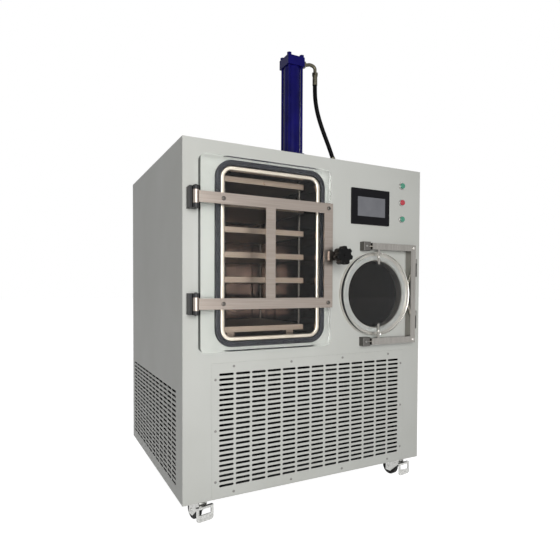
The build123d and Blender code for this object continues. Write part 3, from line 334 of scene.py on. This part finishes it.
def moulded_plastic(name, dark, light, rough, coat=0.0, sheen=0.5):
    """Injection moulded plastic. It gives an even colour with a fine spark-eroded grain."""
    material, tree, shader = start_material(name, Roughness=rough, IOR=1.46, Coat_Weight=coat,
                                            Specular_IOR_Level=sheen)
    tree.links.new(tint(tree, speckle(tree, 30), dark, light), shader.inputs["Base Color"])
    # Mould grain is 0.3 mm across and is drawn at 1.5 mm.
    emboss(tree, shader, speckle(tree, 1.5), depth_mm=0.03, strength=0.25)
    return material


def screen_glass():
    """Touch film over an unlit display. It gives an even grey with a faint sheen."""
    material, tree, shader = start_material("screen_glass", Roughness=0.22, IOR=1.5)
    tree.links.new(tint(tree, speckle(tree, 45), "66676C", "6E6F74"), shader.inputs["Base Color"])
    return material


# ---- settings that a user would change ----
class CabinetSettings(bpy.types.PropertyGroup):
    paint_dark: bpy.props.StringProperty(name="Paint, darker", description="Hex colour", default="C3C4BE")
    paint_light: bpy.props.StringProperty(name="Paint, lighter", description="Hex colour", default="C9CAC5")
    paint_roughness: bpy.props.FloatProperty(
        name="Paint roughness", description="Roughness of the powder coat", default=0.42, min=0, max=1)


class HoseSettings(bpy.types.PropertyGroup):
    diameter: bpy.props.FloatProperty(
        name="Hose diameter", description="Outside diameter of the hose", default=0.0175, unit="LENGTH")


class StageSettings(bpy.types.PropertyGroup):
    floor_size: bpy.props.FloatProperty(
        name="Floor size", description="Side of the square floor", default=60.0, unit="LENGTH")
    ambient: bpy.props.FloatProperty(
        name="Ambient light", description="Strength of the even light from all round", default=0.14)
    key_power: bpy.props.FloatProperty(
        name="Key power", description="Power of the large lamp in front", default=68.0, unit="POWER")
    back_power: bpy.props.FloatProperty(
        name="Back power", description="Power of the lamp behind the right corner", default=70.0,
        unit="POWER")


# ---- operators: the CAD pieces' finishes ----
class FREEZE_OT_cabinet(bpy.types.Operator):
    """Finish the painted panels, the frame and the grille's screws."""
    bl_idname = "freeze.cabinet"
    bl_label = "Cabinet finish"

    def execute(self, context):
        settings = context.scene.freeze_cabinet
        left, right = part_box("left_panel"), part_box("right_panel")
        low = (left[0][0], left[0][1] - SHEET, left[0][2])
        high = (right[1][0], right[1][1] + SHEET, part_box("top_panel")[1][2])
        # Painted shade: the panels are near black on their faces within the cabinet.
        paint = sheet_steel_shaded_inside("sheet_steel_shaded_inside", settings.paint_dark, settings.paint_light,
                                  settings.paint_roughness, low, high)
        primer = powder_coated_steel("grey_primed_steel", "4A4C4E", "585A5C", rough=0.55)
        dress(paint, "front_panel", "front_grille", "left_panel", "right_panel", "rear_panel", "top_panel")
        dress(primer, "frame")
        dress(turned_steel("plated_screw_steel", "8E8D8A", rough=0.3), "panel_screws")
        return {"FINISHED"}


class FREEZE_OT_chamber(bpy.types.Operator):
    """Finish the drying chamber, its seal, the shelves and their guides."""
    bl_idname = "freeze.chamber"
    bl_label = "Drying chamber finish"

    def execute(self, context):
        shelves = [f"shelf_{i}" for i in range(1, 6)]
        rim_back = front_of("drying_chamber") + RIM_DEPTH
        # Painted highlight on the chamber's rim and painted shade inside it.
        steel = vessel_steel_painted_light("chamber_steel_painted_light", "E8DCCB", "F2E8DA", "5B4F49", "665A53",
                                rim_back, rough=0.07)
        dress(steel, "drying_chamber")
        dress(brushed_stainless("ground_shelf_steel", "A39182", "B5A495", rough=0.3, along="X"),
              "press_plate", "base_shelf", *shelves)
        dress(turned_steel("ground_rod_steel", "55504B", rough=0.3), "guide_rods")
        dress(turned_steel("chromed_rod_steel", "C4C1BC", rough=0.14), "piston_rod")
        dress(moulded_silicone("black_silicone", "1A1B22", "22232B"), "chamber_gasket")
        return {"FINISHED"}


class FREEZE_OT_press(bpy.types.Operator):
    """Finish the stoppering cylinder and the fittings of its hose."""
    bl_idname = "freeze.press"
    bl_label = "Stoppering cylinder finish"

    def execute(self, context):
        blue = gloss_enamel("blue_cylinder_enamel", "0C0B48", "151260")
        dress(blue, "cylinder_head", "cylinder_barrel", "cylinder_cap", "tie_rods")
        dress(turned_steel("plated_fitting_steel", "5A574A", rough=0.38), "hose_elbow", "hose_bulkhead")
        return {"FINISHED"}


class FREEZE_OT_door(bpy.types.Operator):
    """Finish the main door, its hinges and its clamp."""
    bl_idname = "freeze.door"
    bl_label = "Main door finish"

    def execute(self, context):
        dress(cast_acrylic("cast_acrylic", "ECECEB"), "door_pane", "trap_pane")
        dress(brushed_stainless("brushed_strap_steel", "938981", "A0968E", rough=0.3, along="X"),
              "door_straps")
        dress(turned_steel("socket_bolt_steel", "5F5B57", rough=0.25), "strap_bolts")
        # Painted shade: the stud's steel is darkened for the shadow behind the knob.
        dress(turned_steel("clamp_stud_steel_painted_shade", "7E7A75", rough=0.25), "clamp_stud")
        dress(powder_coated_steel("grey_coated_steel", "262627", "333334", rough=0.4), "hinge_brackets")
        dress(moulded_plastic("black_phenolic", "050505", "0A0A0A", rough=0.3, sheen=0.15), "star_knob")
        return {"FINISHED"}


class FREEZE_OT_trap(bpy.types.Operator):
    """Finish the cold trap, its coil and what carries it; its clear disc is finished with the main door."""
    bl_idname = "freeze.trap"
    bl_label = "Cold trap finish"

    def execute(self, context):
        neck_back = front_of("trap_vessel") + NECK_DEPTH
        # Painted highlight on the pot's flange and neck and painted shade inside it.
        steel = vessel_steel_painted_light("trap_pot_steel_painted_light", "BDB9B2", "CFCBC4", "5F5A55", "6E6963",
                                neck_back, rough=0.1)
        dress(steel, "trap_vessel")
        dress(moulded_silicone("pale_silicone", "A9A9A6", "B8B8B5"), "trap_gasket")
        dress(turned_steel("drawn_copper_pipe", "B87B5C", rough=0.3), "trap_coil")
        dress(brushed_stainless("satin_yoke_steel", "8B8883", "A09D98", rough=0.24, along="Z"), "trap_yoke")
        # Painted shade: the hinges' steel is darkened for the shadow they sit in beside the yoke's post.
        dress(turned_steel("trap_hinge_steel_painted_shade", "4B4A48", rough=0.35), "trap_hinges")
        dress(turned_steel("cast_catch_steel", "62605D", rough=0.42), "trap_catches")
        dress(turned_steel("bright_screw_steel", "C6C3BE", rough=0.18), "trap_screws")
        return {"FINISHED"}


class FREEZE_OT_controls(bpy.types.Operator):
    """Finish the touch screen and the push buttons."""
    bl_idname = "freeze.controls"
    bl_label = "Control panel finish"

    def execute(self, context):
        green = moulded_plastic("green_button_plastic", "2E8468", "389276", rough=0.25, coat=0.6)
        red = moulded_plastic("red_button_plastic", "B3122B", "C01A33", rough=0.25, coat=0.6)
        dress(moulded_plastic("black_abs", "08080B", "0D0C10", rough=0.45, sheen=0.12), "hmi_housing")
        dress(screen_glass(), "hmi_screen")
        dress(turned_steel("satin_bezel_steel", "B5B5B2", rough=0.25), "button_bezels")
        dress(green, "upper_button", "lower_button")
        dress(red, "stop_button")
        return {"FINISHED"}


class FREEZE_OT_castors(bpy.types.Operator):
    """Finish the castors and their brake pedals."""
    bl_idname = "freeze.castors"
    bl_label = "Castor finish"

    def execute(self, context):
        zinc = zinc_plated_steel()
        tread = moulded_plastic("black_tread_rubber", "0C0C0C", "161616", rough=0.55, sheen=0.2)
        corners = ("fl", "fr", "rl", "rr")
        # Painted shade: the castor plates are near black for the shadow under the cabinet's bottom edge.
        dress(powder_coated_steel("caster_plate_painted_shade", "141414", "1C1C1C", rough=0.5), "caster_plates")
        dress(zinc, "brake_pedal_fl", "brake_pedal_fr", *["caster_fork_" + c for c in corners])
        dress(tread, *["caster_wheel_" + c for c in corners])
        return {"FINISHED"}


class FREEZE_OT_cooling(bpy.types.Operator):
    """Finish the refrigeration set behind the grille."""
    bl_idname = "freeze.cooling"
    bl_label = "Refrigeration finish"

    def execute(self, context):
        dress(gloss_enamel("black_compressor_enamel", "0A0A0B", "121214"), "compressor")
        # Painted shade: the condenser's fins are near black, so the view through the grille stays dark.
        dress(powder_coated_steel("condenser_fins_painted_shade", "131314", "1C1C1E", rough=0.6), "condenser")
        dress(moulded_plastic("black_fan_plastic", "101012", "18181A", rough=0.5), "fan_impeller")
        return {"FINISHED"}


# ---- operators: pieces made here ----
class FREEZE_OT_hose(bpy.types.Operator):
    """Lay the pressure hose from the cylinder's fitting down to the top panel."""
    bl_idname = "freeze.hose"
    bl_label = "Pressure hose"

    def execute(self, context):
        settings = context.scene.freeze_hose
        curve = bpy.data.curves.new("hose_cover", "CURVE")
        curve.dimensions = "3D"
        curve.bevel_depth = settings.diameter / 2
        curve.bevel_resolution = 5
        curve.resolution_u = 8
        curve.use_fill_caps = True
        spline = curve.splines.new("NURBS")
        spline.points.add(len(HOSE_ROUTE) - 1)
        for point, place in zip(spline.points, HOSE_ROUTE):
            point.co = (*place, 1.0)
        spline.order_u = 3
        spline.use_endpoint_u = True
        hose = bpy.data.objects.new("hose_cover", curve)
        context.scene.collection.objects.link(hose)
        curve.materials.append(extruded_rubber())
        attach(hose, "cabinet")
        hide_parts("pressure_hose")
        return {"FINISHED"}


# ---- operator: the stage ----
class FREEZE_OT_stage(bpy.types.Operator):
    """Set the pale floor, the soft lamps, the world and the camera."""
    bl_idname = "freeze.stage"
    bl_label = "Stage"

    def execute(self, context):
        settings = context.scene.freeze_stage
        make_floor(settings.floor_size)
        make_world(context.scene, settings.ambient)
        aim_lamp("key_lamp", *KEY_LAMP, settings.key_power)
        aim_lamp("back_lamp", *BACK_LAMP, settings.back_power)
        make_camera(context.scene)
        context.scene.view_settings.view_transform = "Standard"
        return {"FINISHED"}


def seen_rays(tree):
    """1 for rays from the camera, also by mirrors and glass, and 0 for light on the object."""
    rays = add(tree, "ShaderNodeLightPath").outputs
    eye, mirror, glass = rays["Is Camera Ray"], rays["Is Glossy Ray"], rays["Is Transmission Ray"]
    any_of_them = math_node(tree, "MAXIMUM", math_node(tree, "MAXIMUM", eye, mirror), glass)
    # Behind glass, a matt surface would otherwise be lit by the full white.
    direct = math_node(tree, "LESS_THAN", rays["Diffuse Depth"], 0.5)
    return math_node(tree, "MULTIPLY", any_of_them, direct)


def make_floor(size):
    """A square floor that looks pale, yet throws little light back up at the machine."""
    mesh = bpy.data.meshes.new("floor")
    shape = bmesh.new()
    bmesh.ops.create_grid(shape, x_segments=1, y_segments=1, size=size / 2)
    shape.to_mesh(mesh)
    shape.free()
    floor = bpy.data.objects.new("floor", mesh)
    bpy.context.scene.collection.objects.link(floor)
    material, tree, shader = start_material("pale_floor", Roughness=0.6)
    seen = seen_rays(tree)
    tree.links.new(ramp_to(tree, seen, FLOOR_GREY_LIT, FLOOR_GREY_SEEN), shader.inputs["Base Color"])
    glow = add(tree, "ShaderNodeEmission", {"Color": WHITE, "Strength": FLOOR_GLOW}).outputs[0]
    mix_surface(tree, math_node(tree, "MULTIPLY", seen, FLOOR_GLOW_SHARE), shader, glow)
    mesh.materials.append(material)


def make_world(scene, ambient):
    """Even white light, which the eye, mirrors and glass see at full white."""
    world = bpy.data.worlds.new("studio")
    world.use_nodes = True
    tree = world.node_tree
    tree.nodes.clear()
    strength = ramp_to(tree, seen_rays(tree), ambient, 1.0)
    glow = add(tree, "ShaderNodeBackground", {"Color": WHITE, "Strength": strength})
    add(tree, "ShaderNodeOutputWorld", {"Surface": glow.outputs[0]})
    scene.world = world


def aim_lamp(name, place, target, size, power):
    """A square lamp that faces a point."""
    lamp = bpy.data.lights.new(name, "AREA")
    lamp.shape = "SQUARE"
    lamp.size = size
    lamp.energy = power
    holder = bpy.data.objects.new(name, lamp)
    holder.location = place
    holder.rotation_euler = (Vector(target) - Vector(place)).to_track_quat("-Z", "Y").to_euler()
    bpy.context.scene.collection.objects.link(holder)


def make_camera(scene):
    """A camera off the front left corner, halfway up the machine and level but for a slight tilt."""
    camera = bpy.data.cameras.new("camera")
    camera.lens = LENS_MM
    camera.sensor_width = SENSOR_MM
    camera.shift_x, camera.shift_y = LENS_SHIFT
    holder = bpy.data.objects.new("camera", camera)
    yaw, pitch, roll = map(math.radians, (CAMERA_YAW, CAMERA_PITCH, CAMERA_ROLL))
    turn = Matrix.Rotation(-yaw, 4, "Z") @ Matrix.Rotation(math.pi / 2 + pitch, 4, "X")
    turn = turn @ Matrix.Rotation(roll, 4, "Z")
    holder.matrix_world = Matrix.Translation(CAMERA_PLACE) @ turn
    scene.collection.objects.link(holder)
    scene.camera = holder


class FREEZE_PT_panel(bpy.types.Panel):
    """Buttons and sizes of the freeze dryer."""
    bl_idname = "FREEZE_PT_panel"
    bl_label = "Freeze dryer"
    bl_space_type = "VIEW_3D"
    bl_region_type = "UI"
    bl_category = "Freeze dryer"

    def draw(self, context):
        for group in GROUPS:
            settings = getattr(context.scene, group)
            for key in settings.__annotations__:
                self.layout.prop(settings, key)
        for operator in OPERATORS:
            self.layout.operator(operator.bl_idname)


GROUPS = {"freeze_cabinet": CabinetSettings, "freeze_hose": HoseSettings, "freeze_stage": StageSettings}
OPERATORS = (FREEZE_OT_stage, FREEZE_OT_hose, FREEZE_OT_cabinet, FREEZE_OT_chamber, FREEZE_OT_press,
             FREEZE_OT_door, FREEZE_OT_trap, FREEZE_OT_controls, FREEZE_OT_castors, FREEZE_OT_cooling)


def register():
    for kind in (*GROUPS.values(), *OPERATORS, FREEZE_PT_panel):
        bpy.utils.register_class(kind)
    for name, kind in GROUPS.items():
        setattr(bpy.types.Scene, name, bpy.props.PointerProperty(type=kind))


def unregister():
    for name in GROUPS:
        delattr(bpy.types.Scene, name)
    for kind in (FREEZE_PT_panel, *reversed(OPERATORS), *GROUPS.values()):
        bpy.utils.unregister_class(kind)


def main():
    register()
    for operator in OPERATORS:
        family, action = operator.bl_idname.split(".")
        getattr(getattr(bpy.ops, family), action)()


if __name__ == "__main__":
    main()
